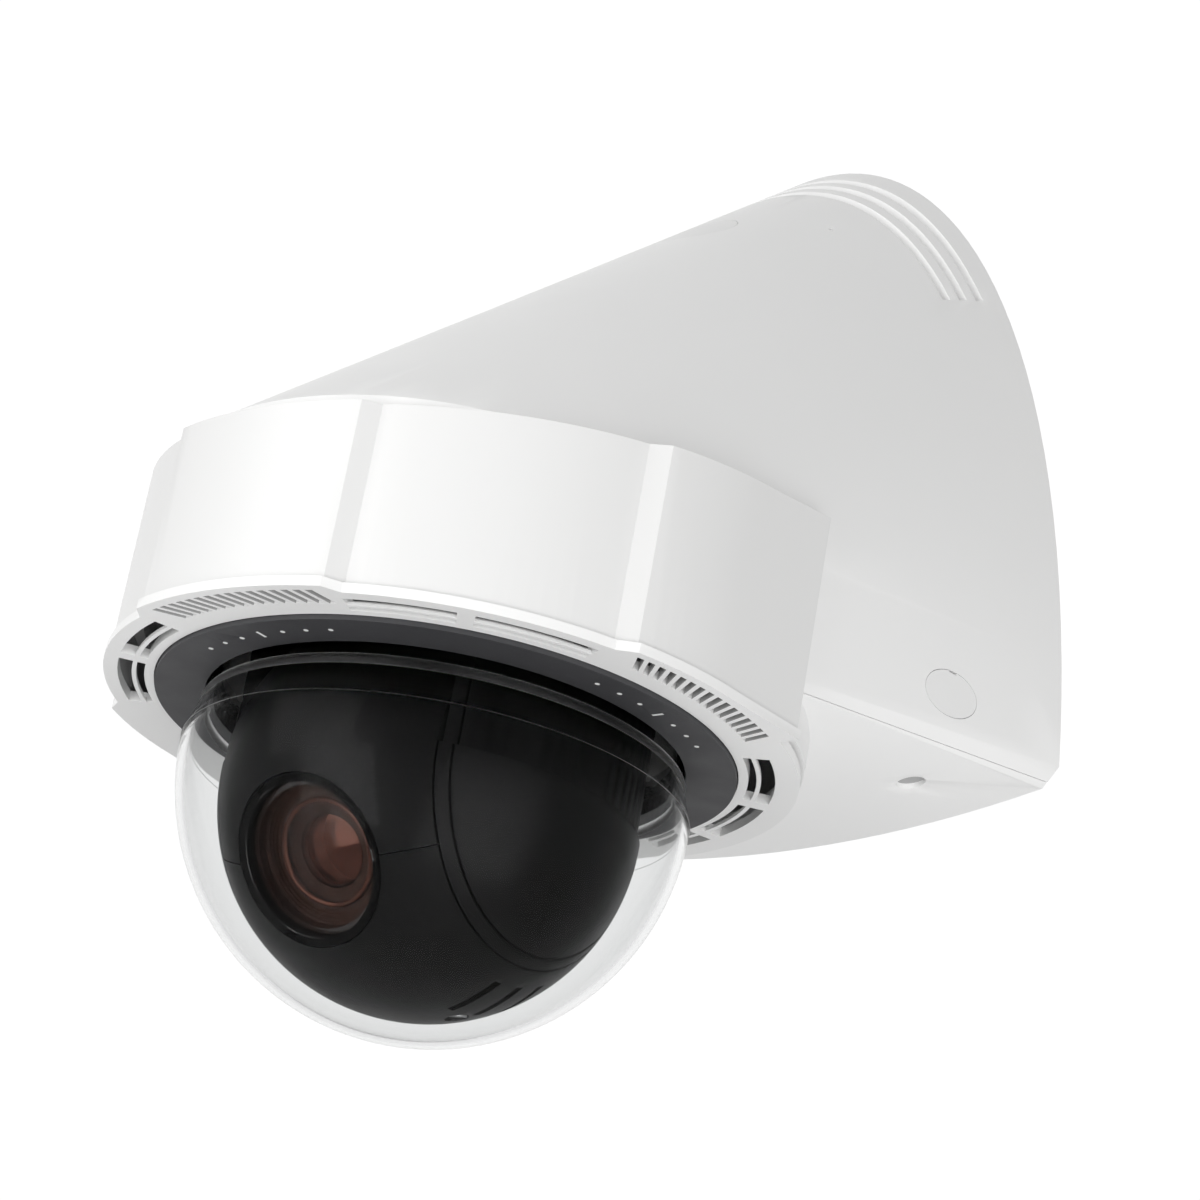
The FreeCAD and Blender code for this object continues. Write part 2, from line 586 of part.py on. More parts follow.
# ---- slip ring on a bridge above the pan hub ----
SLIP_Z0 = 58.0
BRIDGE_Z = 72.0
rotor = ring(7.0, 3.0, PULLEY_Z1 - 4.0, SLIP_Z0 + 14.0)
save("slip_ring_rotor", rotor.fuse(ring(8.4, 3.0, 41.0, PULLEY_Z1 + 0.6)))
stator = ring(13.0, 7.4, SLIP_Z0 + 1.0, SLIP_Z0 + 13.0)
stator = stator.fuse(ring(13.0, 9.0, SLIP_Z0 + 13.0, BRIDGE_Z))
save("slip_ring_stator", stator)
bridge = box(-48, 48, -12, 12, BRIDGE_Z, BRIDGE_Z + 2.0)
bridge = bridge.cut(Part.makeCylinder(9.0, 10, V(0, 0, BRIDGE_Z - 4)))
for sx in (-1, 1):
    for sy in (-8, 8):
        bridge = bridge.fuse(rod(2.2, V(sx * 44, sy, chassis_top), V(sx * 44, sy, BRIDGE_Z + 1)))
save("slip_ring_bridge", bridge)

# ---- pan body: turntable, drum skirt, yoke arms, cheeks ----
TABLE_R = 49.0
TABLE_Z0 = 36.8
TABLE_Z1 = 39.8
SKIRT_R = 50.0
SKIRT_Z0 = 14.0
ARM_X0 = 35.6
ARM_X1 = 38.0
TILT_PULLEY_R = 14.0
TILT_PINION_R = 4.0
TILT_MOTOR_Z = 2.0
table = Part.makeCylinder(TABLE_R, TABLE_Z1 - TABLE_Z0, V(0, 0, TABLE_Z0))
table = table.fuse(ring(HUB_R, 8.5, TABLE_Z1 - 1, PULLEY_Z0 - 0.8))
table = table.cut(Part.makeCylinder(8.5, 40, V(0, 0, TABLE_Z0 - 5)))
table = table.fuse(tube(SKIRT_R + 1.0, SKIRT_R - 1.2, V(0, 0, SKIRT_Z0), V(0, 0, TABLE_Z1)))
save("turntable", table)

ARM_HALF_Y = 15.0


def yoke_arm(sign):
    x0 = sign * ARM_X0
    x1 = sign * ARM_X1
    lo, hi = min(x0, x1), max(x0, x1)
    arm = box(lo, hi, -ARM_HALF_Y, ARM_HALF_Y, BALL_Z, TABLE_Z0)
    arm = arm.fuse(rod(ARM_HALF_Y, V(lo, 0, BALL_Z), V(hi, 0, BALL_Z)))
    foot_in = sign * (ARM_X0 - 7.0)
    flo, fhi = min(foot_in, x1), max(foot_in, x1)
    arm = arm.fuse(box(flo, fhi, -ARM_HALF_Y, ARM_HALF_Y, TABLE_Z0 - 2.2, TABLE_Z0))
    arm = arm.cut(rod(4.05, V(lo - 5, 0, BALL_Z), V(hi + 5, 0, BALL_Z)))
    return arm


save("yoke_arm_right", yoke_arm(1))
left_arm = yoke_arm(-1).cut(rod(2.05, V(-50, 0, TILT_MOTOR_Z), V(-30, 0, TILT_MOTOR_Z)))
save("yoke_arm_left", left_arm)


def cheek_block(r):
    """Rounded cheek volume: ball below the tilt axis, upright drum above it."""
    ball = Part.makeSphere(r, V(0, 0, BALL_Z))
    upright = Part.makeCylinder(r - 1.0, SKIRT_Z0 - FIT - BALL_Z, V(0, 0, BALL_Z))
    upper = ball.common(box(-200, 200, -200, 200, -200, BALL_Z))
    return upper.fuse(upright)


cheek_out = cheek_block(BALL_R)
cheek_in = cheek_block(BALL_R - SHELL_T).common(box(-200, 200, -200, 200, -200, SKIRT_Z0 - 3))
cheek = cheek_out.common(box(CHEEK_IN, 200, -200, 200, -200, 200))
cheek = cheek.cut(cheek_in.common(box(CHEEK_IN + 1.6, 200, -200, 200, -200, 200)))
arm_slot = box(CHEEK_IN - 1, ARM_X1 + 1, -ARM_HALF_Y - 0.5, ARM_HALF_Y + 0.5, SKIRT_Z0 - 6, SKIRT_Z0 + 5)
cheek = cheek.cut(arm_slot)
CHEEK_LINE_X = 35.8       # fine groove beside the joint with the tilting slice
CHEEK_LINE_W = 0.6
CHEEK_LINE_D = 0.6
line_band = box(CHEEK_LINE_X, CHEEK_LINE_X + CHEEK_LINE_W, -200, 200, -200, SKIRT_Z0 - 3)
cheek = cheek.cut(cheek_block(BALL_R + 1).cut(cheek_block(BALL_R - CHEEK_LINE_D)).common(line_band))
cheek = cheek.cut(rod(5.5, V(30, 0, BALL_Z), V(36, 0, BALL_Z)))
save("cheek_cover_right", cheek)
save("cheek_cover_left", mirror_x(cheek))

# ---- tilt drive inside the left cheek ----
lay = FreeCAD.Rotation(Y_AXIS, -90)


def to_left(shape, z):
    """Turns a piece built on +Z so that it points to -X and sets it at height z."""
    out = shape.copy()
    out.Placement = FreeCAD.Placement(V(0, 0, z), lay)
    return out


TILT_P0 = ARM_X1 + 1.3
TILT_P1 = TILT_P0 + 2.4
tilt_pulley = toothed_pulley(TILT_PULLEY_R, 32, TILT_P0, TILT_P1, 0.7)
tilt_pulley = tilt_pulley.cut(Part.makeCylinder(3.5, 60, V(0, 0, 0)))
save("tilt_pulley", to_left(tilt_pulley, BALL_Z))
tilt_pinion = toothed_pulley(TILT_PINION_R, 9, TILT_P0, TILT_P1, 0.7)
tilt_pinion = tilt_pinion.fuse(Part.makeCylinder(1.5, 7.0, V(0, 0, ARM_X0)))
save("tilt_motor_pulley", to_left(tilt_pinion, TILT_MOTOR_Z))
tilt_motor = Part.makeCylinder(7.0, 5.0, V(0, 0, TILT_P1 + 1.1))
save("tilt_motor", to_left(tilt_motor, TILT_MOTOR_Z))
save("tilt_belt", to_left(belt(V(BALL_Z, 0, 0), TILT_PULLEY_R, V(TILT_MOTOR_Z, 0, 0), TILT_PINION_R,
                               TILT_P0 + 0.3, TILT_P1 - 0.3), 0.0))

# ---- tilting slice of the ball, built level round the tilt axis ----
slice_box = box(-SLICE_HALF, SLICE_HALF, -100, 100, -100, 100)
ball_out = Part.makeSphere(BALL_R).common(slice_box)
ball_in = Part.makeSphere(BALL_R - SHELL_T).common(box(-SLICE_HALF + 1.6, SLICE_HALF - 1.6, -100, 100, -100, 100))
ball_shell = ball_out.cut(ball_in)
ball_shell = ball_shell.cut(rod(LENS_R + 0.3, V(0, 0, 0), V(0, -80, 0)))
ball_shell = ball_shell.cut(rod(3.55, V(-60, 0, 0), V(60, 0, 0)))
SPLIT_GAP = 0.15
upper_zone = box(-100, 100, -100, 100, SPLIT_GAP, 100)
lower_zone = box(-100, 100, -100, 100, -100, -SPLIT_GAP)
upper_shell = ball_shell.common(upper_zone)
lower_shell = ball_shell.common(lower_zone)
VENT_DEGS = (60.0, 71.0, 82.0)
VENT_W = 2.3
for d in VENT_DEGS:
    for sign in (-1, 1):
        lo, hi = sorted((sign * 14.5, sign * 28.0))
        vent = box(lo, hi, -60, -42, -VENT_W / 2, VENT_W / 2)
        vent.rotate(ORIGIN, X_AXIS, d)
        lower_shell = lower_shell.cut(vent)
SHELL_SCREW_DEG = 68.0
SHELL_SCREW_X = (-11.0, 11.0)
shell_screws = []
for x in SHELL_SCREW_X:
    seat_r = math.sqrt(BALL_R * BALL_R - x * x)
    well = rod(3.0, V(x, -seat_r - 3, 0), V(x, -seat_r + 1.6, 0))
    well.rotate(ORIGIN, X_AXIS, SHELL_SCREW_DEG)
    shank = rod(1.1, V(x, -seat_r - 3, 0), V(x, -seat_r + 8, 0))
    shank.rotate(ORIGIN, X_AXIS, SHELL_SCREW_DEG)
    lower_shell = lower_shell.cut(well).cut(shank)
    head = rod(2.5, V(x, -seat_r + 0.4, 0), V(x, -seat_r + 1.6, 0))
    head = head.fuse(rod(1.0, V(x, -seat_r + 1.6, 0), V(x, -seat_r + 7, 0)))
    head = head.cut(box(x - 0.4, x + 0.4, -seat_r - 1, -seat_r + 0.9, -3, 3))
    head.rotate(ORIGIN, X_AXIS, SHELL_SCREW_DEG)
    shell_screws.append(head)
save("head_shell_upper", posed(upper_shell))
save("head_shell_lower", posed(lower_shell))
save("head_shell_screws", posed(group(shell_screws)))

trunnion_right = rod(3.5, V(27.0, 0, 0), V(ARM_X1 + 1.0, 0, 0)).fuse(rod(4.0, V(ARM_X0 - 1.5, 0, 0), V(ARM_X1, 0, 0)))
trunnion_left = rod(3.5, V(-27.0, 0, 0), V(-TILT_P1, 0, 0)).fuse(rod(4.0, V(-ARM_X0 + 1.5, 0, 0), V(-ARM_X1, 0, 0)))
carrier = box(-27.5, 27.5, -8, 26, 18.0, 20.0)
side_plate = box(27.5, 29.5, -10, 26, -20, 20).cut(rod(3.5, V(20, 0, 0), V(40, 0, 0)))
carrier = carrier.fuse(both(side_plate)).fuse(box(-27.5, 27.5, -8, 26, -20, -18))
save("head_carrier", posed(carrier))
save("tilt_trunnions", posed(group([trunnion_right, trunnion_left])))

# ---- lens: ring in the shell, barrel, front glass, sliding groups, sensor board ----
RING_FACE = 47.6          # where the lens ring's rim stands, just inside the ball surface
BARREL_R = 16.0
BARREL_FRONT = 40.0
BARREL_REAR = -14.0
GLASS_R = 17.4


def along(r_out, r_in, y0, y1):
    """Tube on the lens axis between two distances in front of the tilt axis."""
    return tube(r_out, r_in, V(0, -y0, 0), V(0, -y1, 0))


lens_ring = along(LENS_R, GLASS_R + 1.6, 40.0, RING_FACE).fuse(along(LENS_R, BARREL_R + 0.3, 38.0, 40.0))
for d in (90, 210, 330):
    nick = box(-1.6, 1.6, -RING_FACE - 1, -RING_FACE + 1.4, GLASS_R + 0.5, LENS_R + 1)
    nick.rotate(ORIGIN, Y_AXIS, d)
    lens_ring = lens_ring.cut(nick)
save("lens_ring", posed(lens_ring))
barrel = along(BARREL_R, BARREL_R - 1.6, BARREL_REAR, BARREL_FRONT)
barrel = barrel.fuse(along(GLASS_R + 1.3, GLASS_R, 40.3, 44.6)).fuse(along(GLASS_R + 1.3, BARREL_R - 1.6, 40.0, 41.2))
save("lens_barrel", posed(barrel))
glass_ball = 34.0
glass = rod(GLASS_R - 0.1, V(0, -41.4, 0), V(0, -50, 0)).common(Part.makeSphere(glass_ball, V(0, -44.0 + glass_ball, 0)))
glass = glass.fuse(rod(GLASS_R - 0.1, V(0, -41.4, 0), V(0, -42.0, 0)))
save("front_glass", posed(glass))


def lens_group(y_mid, half, r_glass):
    cell = along(BARREL_R - 1.65, r_glass, y_mid - half, y_mid + half)
    element = rod(r_glass, V(0, -(y_mid - half * 0.6), 0), V(0, -(y_mid + half * 0.6), 0))
    return cell.fuse(element)


save("zoom_group", posed(lens_group(28.0, 3.0, 11.0)))
save("focus_group", posed(lens_group(4.0, 2.5, 8.5)))
save("sensor_board", posed(box(-15, 15, 14.3, 16.0, -15, 15).fuse(box(-5, 5, 13.0, 14.3, -4, 4))))

# ---- cooling fan on three posts over the chassis ----
FAN_AT = V(-48.0, 30.0, 0)
FAN_Z = 60.0
FAN_T = 8.0
FAN_HALF = 18.0
frame = box(-FAN_HALF, FAN_HALF, -FAN_HALF, FAN_HALF, FAN_Z, FAN_Z + FAN_T)
frame = frame.cut(Part.makeCylinder(16.5, 30, V(0, 0, FAN_Z - 5)))
frame = frame.fuse(Part.makeCylinder(6.0, 1.2, V(0, 0, FAN_Z)))
for d in (45, 135, 225, 315):
    strut = box(-1.0, 1.0, 5.0, 18.0, FAN_Z, FAN_Z + 1.2)
    strut.rotate(ORIGIN, Z_AXIS, d - 45)
    frame = frame.fuse(strut)
frame = frame.cut(Part.makeCylinder(1.55, 10, V(0, 0, FAN_Z - 2)))
for x, y in ((16, -16), (-16, -16), (16, 16)):
    frame = frame.fuse(rod(2.0, V(x, y, chassis_top), V(x, y, FAN_Z + 1)))
frame.translate(FAN_AT)
save("fan_frame", frame)
FAN_BLADES = 7
fan = Part.makeCylinder(6.5, FAN_T - 2.4, V(0, 0, FAN_Z + 1.6)).fuse(Part.makeCylinder(1.5, 3.0, V(0, 0, FAN_Z)))
for k in range(FAN_BLADES):
    blade = box(5.5, 15.6, -0.5, 0.5, -3.0, 3.0)
    blade.rotate(V(10, 0, 0), X_AXIS, 42)
    blade = blade.common(box(-30, 30, -30, 30, -2.4, 2.4))
    blade.translate(V(0, 0, FAN_Z + 4.6))
    blade.rotate(ORIGIN, Z_AXIS, 360.0 * k / FAN_BLADES)
    fan = fan.fuse(blade)
fan.translate(FAN_AT)
save("fan_rotor", fan)

# ---- electronics tray, boards and connector near the wall ----
TRAY_Y = 92.0
tray = box(-62, 62, TRAY_Y, TRAY_Y + 2.0, 46, 140)
tray = tray.fuse(box(-62, 62, TRAY_Y - 10, TRAY_Y, 46, 48))
for sx in (-1, 1):
    for z in (56, 130):
        tray = tray.fuse(rod(4.0, V(sx * 50, TRAY_Y + 1, z), V(sx * 50, WALL_Y + 0.3, z)))
save("electronics_tray", tray)
BOARD_Y = TRAY_Y - 7.0
board = box(-54, 54, BOARD_Y, BOARD_Y + 1.6, 54, 134)
for sx in (-1, 1):
    for z in (58, 130):
        board = board.fuse(rod(2.0, V(sx * 50, BOARD_Y + 0.5, z), V(sx * 50, TRAY_Y, z)))
save("main_board", board)
chips = [box(-34, -12, BOARD_Y - 2.4, BOARD_Y, 96, 118), box(-4, 10, BOARD_Y - 1.6, BOARD_Y, 100, 114),
         box(18, 30, BOARD_Y - 1.2, BOARD_Y, 84, 100), box(-44, -36, BOARD_Y - 1.0, BOARD_Y, 64, 76)]
save("board_chips", group(chips))
save("network_connector", box(20, 37, BOARD_Y - 14, BOARD_Y, 56, 70).cut(box(22, 35, BOARD_Y - 12, BOARD_Y - 2, 54, 66)))
sink = box(-36, -10, BOARD_Y - 5.0, BOARD_Y - 2.4, 94, 120)
for k in range(6):
    x = -36 + 4.9 * k
    sink = sink.fuse(box(x, x + 1.5, BOARD_Y - 15, BOARD_Y - 4.9, 94, 120))
save("heat_sink", sink)

# ---- wall plate with its seal, bolt holes and cable gland ----
PLATE_INSET = 3.0
BOLT_X = 60.0
BOLT_Z_LOW = 40.0
BOLT_Z_HIGH = 140.0
BOLT_R = 3.5
CABLE_R = 12.0
CABLE_Z = 90.0


def outline_plate(inset, y0, y1):
    return Part.Face(wall_wire(inset, y0)).extrude(V(0, y1 - y0, 0))


wall_plate = outline_plate(PLATE_INSET, PLATE_Y0, PLATE_Y1)
for sx in (-1, 1):
    for z in (BOLT_Z_LOW, BOLT_Z_HIGH):
        wall_plate = wall_plate.cut(rod(BOLT_R, V(sx * BOLT_X, WALL_Y - 5, z), V(sx * BOLT_X, WALL_Y + 12, z)))
wall_plate = wall_plate.cut(rod(CABLE_R + 0.05, V(0, WALL_Y - 5, CABLE_Z), V(0, WALL_Y + 12, CABLE_Z)))
save("wall_plate", wall_plate)

gland = tube(CABLE_R, 5.0, V(0, WALL_Y - 2.0, CABLE_Z), V(0, PLATE_Y1, CABLE_Z))
gland = gland.fuse(tube(15.5, 5.0, V(0, WALL_Y - 4.0, CABLE_Z), V(0, PLATE_Y0, CABLE_Z)))
save("cable_gland", gland)
save("gland_seal", tube(4.95, 3.0, V(0, WALL_Y - 3.0, CABLE_Z), V(0, PLATE_Y1 - 1.0, CABLE_Z)))
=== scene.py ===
"""Looks for the wall-mounted PTZ dome camera: materials, rebuilt visible pieces, light and camera."""
import json
import math

import bmesh
import bpy
from mathutils import Matrix, Vector


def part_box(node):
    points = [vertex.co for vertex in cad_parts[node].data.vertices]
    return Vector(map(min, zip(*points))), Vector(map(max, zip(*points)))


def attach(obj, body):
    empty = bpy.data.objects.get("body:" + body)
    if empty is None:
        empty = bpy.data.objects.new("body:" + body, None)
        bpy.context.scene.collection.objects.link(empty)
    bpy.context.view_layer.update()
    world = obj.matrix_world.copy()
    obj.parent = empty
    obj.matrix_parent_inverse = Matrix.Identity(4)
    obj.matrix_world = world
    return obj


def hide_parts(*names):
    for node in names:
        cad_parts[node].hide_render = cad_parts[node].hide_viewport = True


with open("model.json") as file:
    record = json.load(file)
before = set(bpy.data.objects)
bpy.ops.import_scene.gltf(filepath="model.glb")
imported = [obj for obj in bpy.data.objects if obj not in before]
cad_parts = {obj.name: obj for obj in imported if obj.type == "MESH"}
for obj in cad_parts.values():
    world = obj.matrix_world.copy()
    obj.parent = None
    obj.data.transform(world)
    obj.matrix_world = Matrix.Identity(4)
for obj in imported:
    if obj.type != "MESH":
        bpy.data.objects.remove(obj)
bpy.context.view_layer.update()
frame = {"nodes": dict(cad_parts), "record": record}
nodes = frame["nodes"]
record = frame["record"]
scene = bpy.context.scene
mm = 0.001
ring_low, ring_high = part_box("scale_ring")
ring_foot = Vector(((ring_low[0] + ring_high[0]) / 2, (ring_low[1] + ring_high[1]) / 2, ring_low[2]))


def at(x, y, z):
    """Point given in mm from the middle of the scale ring's lower face, in scene metres."""
    return ring_foot + Vector((x, y, z)) * mm


# ---------------------------------------------------------------- materials
DRIFT_SCALE = 14.0        # colour drift, in waves per metre
GLOSS_SCALE = 60.0        # patches of more and less gloss
DIRT_SCALE = 35.0         # haze on clear pieces
DIRT_ROUGH = 0.035        # how much the haze adds to the roughness
COAT_ROUGH = 0.12


def new_mat(name):
    """Empty material: itself, its node tree and its shader."""
    m = bpy.data.materials.new(name)
    m.use_nodes = True
    nt = m.node_tree
    return m, nt, nt.nodes["Principled BSDF"]


def noise(nt, scale, detail=4.0, rough=0.5):
    """Noise fixed to the piece's own coordinates."""
    tc = nt.nodes.new("ShaderNodeTexCoord")
    n = nt.nodes.new("ShaderNodeTexNoise")
    n.inputs["Scale"].default_value = scale
    n.inputs["Detail"].default_value = detail
    n.inputs["Roughness"].default_value = rough
    nt.links.new(tc.outputs["Object"], n.inputs["Vector"])
    return n


def ramp(nt, src, lo, hi, p0=0.3, p1=0.7):
    """Stretches a noise value between p0 and p1 to the range lo to hi."""
    r = nt.nodes.new("ShaderNodeMapRange")
    r.inputs["From Min"].default_value = p0
    r.inputs["From Max"].default_value = p1
    r.inputs["To Min"].default_value = lo
    r.inputs["To Max"].default_value = hi
    nt.links.new(src, r.inputs["Value"])
    return r.outputs["Result"]


def bump(nt, bsdf, src, strength, dist):
    """Uses a noise value as fine relief."""
    b = nt.nodes.new("ShaderNodeBump")
    b.inputs["Strength"].default_value = strength
    b.inputs["Distance"].default_value = dist
    nt.links.new(src, b.inputs["Height"])
    nt.links.new(b.outputs["Normal"], bsdf.inputs["Normal"])


def surface(name, color, rough, metallic=0.0, grain=900.0, grain_depth=0.00004, vary=0.05, coat=0.0,
            grain_strength=0.35, spec=0.5, gloss_vary=0.12):
    """Painted, moulded or metal surface with fine grain, slight colour drift and uneven gloss."""
    m, nt, bsdf = new_mat(name)
    bsdf.inputs["Metallic"].default_value = metallic
    bsdf.inputs["Specular IOR Level"].default_value = spec
    bsdf.inputs["Coat Weight"].default_value = coat
    bsdf.inputs["Coat Roughness"].default_value = COAT_ROUGH
    drift = noise(nt, DRIFT_SCALE, detail=3.0)
    mix = nt.nodes.new("ShaderNodeMix")
    mix.data_type = "RGBA"
    mix.inputs["A"].default_value = (*[c * (1 - vary) for c in color], 1)
    mix.inputs["B"].default_value = (*[min(1.0, c * (1 + vary)) for c in color], 1)
    nt.links.new(drift.outputs["Fac"], mix.inputs["Factor"])
    nt.links.new(mix.outputs["Result"], bsdf.inputs["Base Color"])
    gloss = noise(nt, GLOSS_SCALE, detail=5.0)
    uneven = ramp(nt, gloss.outputs["Fac"], rough * (1 - gloss_vary), rough * (1 + gloss_vary))
    nt.links.new(uneven, bsdf.inputs["Roughness"])
    fine = noise(nt, grain, detail=2.0)
    bump(nt, bsdf, fine.outputs["Fac"], grain_strength, grain_depth)
    return m


def clear(name, tint, rough, ior):
    """Clear plastic or glass with a faint uneven haze."""
    m, nt, bsdf = new_mat(name)
    bsdf.inputs["Transmission Weight"].default_value = 1.0
    bsdf.inputs["IOR"].default_value = ior
    bsdf.inputs["Base Color"].default_value = (*tint, 1)
    dirt = noise(nt, DIRT_SCALE, detail=6.0, rough=0.65)
    haze = ramp(nt, dirt.outputs["Fac"], rough, rough + DIRT_ROUGH, p0=0.45, p1=0.8)
    nt.links.new(haze, bsdf.inputs["Roughness"])
    return m


SURFACES = {
    # white mouldings
    "housing_white": dict(color=(0.93, 0.93, 0.925), rough=0.42, vary=0.012, spec=0.4),
    "cover_white": dict(color=(0.94, 0.94, 0.935), rough=0.42, vary=0.012, spec=0.4),
    "shield_white": dict(color=(0.82, 0.82, 0.815), rough=0.36, vary=0.01, grain_strength=0.15,
                         gloss_vary=0.03),
    "trim_white": dict(color=(0.93, 0.93, 0.925), rough=0.34, vary=0.012, coat=0.15, grain_strength=0.2),
    "plug_white": dict(color=(0.90, 0.90, 0.895), rough=0.45, vary=0.015),
    # painted shade: a flat mid grey that stands in for the shade inside dimples, grille slots and gaps
    # behind the trim
    "painted_shade_grey": dict(color=(0.42, 0.42, 0.42), rough=0.5, vary=0.03),
    # scale ring and seals
    "scale_grey": dict(color=(0.050, 0.050, 0.054), rough=0.5, grain=1500.0, grain_strength=0.5, vary=0.1),
    "mark_white": dict(color=(0.85, 0.85, 0.84), rough=0.5, vary=0.02),
    "seal_rubber": dict(color=(0.02, 0.02, 0.02), rough=0.75, grain=700.0, vary=0.15),
    # head and yoke
    "head_black": dict(color=(0.0018, 0.0018, 0.0019), rough=0.42, grain=3200.0, grain_depth=0.00001,
                       vary=0.1, spec=0.18),
    "yoke_black": dict(color=(0.004, 0.004, 0.0043), rough=0.5, spec=0.25, grain_strength=0.5, vary=0.1),
    # lens
    "lens_black": dict(color=(0.0012, 0.0012, 0.0013), rough=0.17, vary=0.1, grain_strength=0.05,
                       spec=0.06),
    "lens_wall": dict(color=(0.014, 0.0075, 0.0062), rough=0.2, vary=0.2, grain_strength=0.05, spec=0.6),
    "ring_edge": dict(color=(0.003, 0.003, 0.003), rough=0.14, vary=0.1, grain_strength=0.05, spec=0.9),
    "lens_rim": dict(color=(0.11, 0.072, 0.062), rough=0.16, metallic=0.6, vary=0.15,
                     grain_strength=0.05),
    "lens_coat": dict(color=(0.085, 0.045, 0.038), rough=0.08, metallic=0.55, vary=0.12, coat=0.4,
                      grain_strength=0.05),
    # works inside the housing and the head
    "chassis_metal": dict(color=(0.55, 0.56, 0.57), rough=0.38, metallic=0.9, vary=0.06),
    "steel": dict(color=(0.5, 0.5, 0.51), rough=0.3, metallic=1.0, vary=0.08, grain=400.0),
    "pulley_plastic": dict(color=(0.62, 0.60, 0.55), rough=0.5, vary=0.04),
    "belt_rubber": dict(color=(0.015, 0.015, 0.015), rough=0.8, vary=0.2, grain=500.0),
    "motor_metal": dict(color=(0.05, 0.05, 0.055), rough=0.45, vary=0.1),
    "board_green": dict(color=(0.02, 0.11, 0.05), rough=0.4, vary=0.15, coat=0.3),
    "chip_black": dict(color=(0.015, 0.015, 0.016), rough=0.5, vary=0.1),
    "connector_metal": dict(color=(0.6, 0.6, 0.6), rough=0.25, metallic=1.0, vary=0.05),
    "sink_metal": dict(color=(0.07, 0.07, 0.08), rough=0.4, metallic=0.8, vary=0.08),
    "floor_white": dict(color=(0.9, 0.9, 0.9), rough=0.6, vary=0.005),
}
CLEARS = {
    "bubble_clear": dict(tint=(0.885, 0.89, 0.89), rough=0.035, ior=1.10),
    "bubble_edge": dict(tint=(0.97, 0.97, 0.97), rough=0.4, ior=1.3),
    "lens_front": dict(tint=(0.84, 0.64, 0.57), rough=0.0, ior=1.19),
    "lens_glass": dict(tint=(0.55, 0.36, 0.28), rough=0.0, ior=1.55),
}
MAT = {name: surface(name, **look) for name, look in SURFACES.items()}
MAT.update({name: clear(name, **look) for name, look in CLEARS.items()})

slot_of = {part["node"]: part["material_slot"] for part in record["subparts"]}
for name, ob in nodes.items():
    ob.data.materials.clear()
    ob.data.materials.append(MAT[slot_of[name]])


# ---------------------------------------------------------------- pieces refined from the CAD
WELD = 0.002              # mm, corners closer than this are one corner
FLAT_DEG = 0.6            # facets that meet at less than this are one face
HARD_DEG = 30.0           # edges sharper than this are softened
SOFT_STEPS = 2

body_of_node = {}
for body, members in record["behaviour"]["bodies"].items():
    for member in members:
        body_of_node[member] = body


def refine(node, width):
    """Visible piece from a CAD node: flat facets joined, hard edges softened, curved faces smooth."""
    bm = bmesh.new()
    bm.from_mesh(nodes[node].data)
    bmesh.ops.remove_doubles(bm, verts=bm.verts, dist=WELD * mm)
    bmesh.ops.dissolve_limit(bm, angle_limit=math.radians(FLAT_DEG), verts=bm.verts, edges=bm.edges)
    for f in bm.faces:
        f.smooth = True
    me = bpy.data.meshes.new(node + "_look")
    bm.to_mesh(me)
    bm.free()
    me.materials.append(MAT[slot_of[node]])
    me.set_sharp_from_angle(angle=math.radians(HARD_DEG))
    ob = bpy.data.objects.new(node + "_look", me)
    scene.collection.objects.link(ob)
    if width:
        bv = ob.modifiers.new("edge", "BEVEL")
        bv.width = width * mm
        bv.segments = SOFT_STEPS
        bv.limit_method = "ANGLE"
        bv.angle_limit = math.radians(HARD_DEG)
        bv.use_clamp_overlap = True
        bv.harden_normals = True
    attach(ob, body_of_node[node])
    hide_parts(node)
    return ob


# ---------------------------------------------------------------- turned pieces
SMOOTH_DEG = 35.0
BUBBLE_STEPS = 192
LENS_STEPS = 128
ON_AXIS = 1e-6            # mm, a radius below this is a single point on the axis


def link(name, bm, body, stands_for, look):
    """Turns a finished bmesh into a smooth piece that rides a body and stands for CAD nodes."""
    for f in bm.faces:
        f.smooth = True
    bmesh.ops.recalc_face_normals(bm, faces=bm.faces)
    me = bpy.data.meshes.new(name)
    bm.to_mesh(me)
    bm.free()
    me.materials.append(MAT[look])
    me.set_sharp_from_angle(angle=math.radians(SMOOTH_DEG))
    ob = bpy.data.objects.new(name, me)
    scene.collection.objects.link(ob)
    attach(ob, body)
    if stands_for:
        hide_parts(*stands_for)


def lathe(name, profile, body, stands_for, look, foot, axis, steps):
    """Closed profile of (radius, distance along the axis) in mm, turned round an axis."""
    side = axis.orthogonal().normalized()
    other = axis.cross(side)
    bm = bmesh.new()
    rings = []
    for r, d in profile:
        centre = foot + axis * (d * mm)
        if r < ON_AXIS:
            rings.append([bm.verts.new(centre)])
            continue
        ring = []
        for k in range(steps):
            t = 2 * math.pi * k / steps
            ring.append(bm.verts.new(centre + (side * math.cos(t) + other * math.sin(t)) * (r * mm)))
        rings.append(ring)
    for a, b in zip(rings, rings[1:] + rings[:1]):
        for k in range(steps):
            n = (k + 1) % steps
            corners = [a[k % len(a)], a[n % len(a)], b[n % len(b)], b[k % len(b)]]
            corners = list(dict.fromkeys(corners))
            if len(corners) > 2:
                bm.faces.new(corners)
    link(name, bm, body, stands_for, look)


def oval(r, d, half_r, half_d, count):
    """Profile points of a bead: an oval round (r, d)."""
    turns = [math.tau * k / count for k in range(count)]
    return [(r + half_r * math.cos(t), d + half_d * math.sin(t)) for t in turns]


# ---------------------------------------------------------------- bubble
# sizes in mm, heights from the scale ring's lower face
# a half bowl that narrows over a shoulder to a collar with a flange on top
BOWL_R = 63.5
BUBBLE_T = 2.0            # wall
COLLAR_R = 59.6
COLLAR_FOOT = -1.0
FLANGE_T = 1.7
BOWL_STEPS = 64
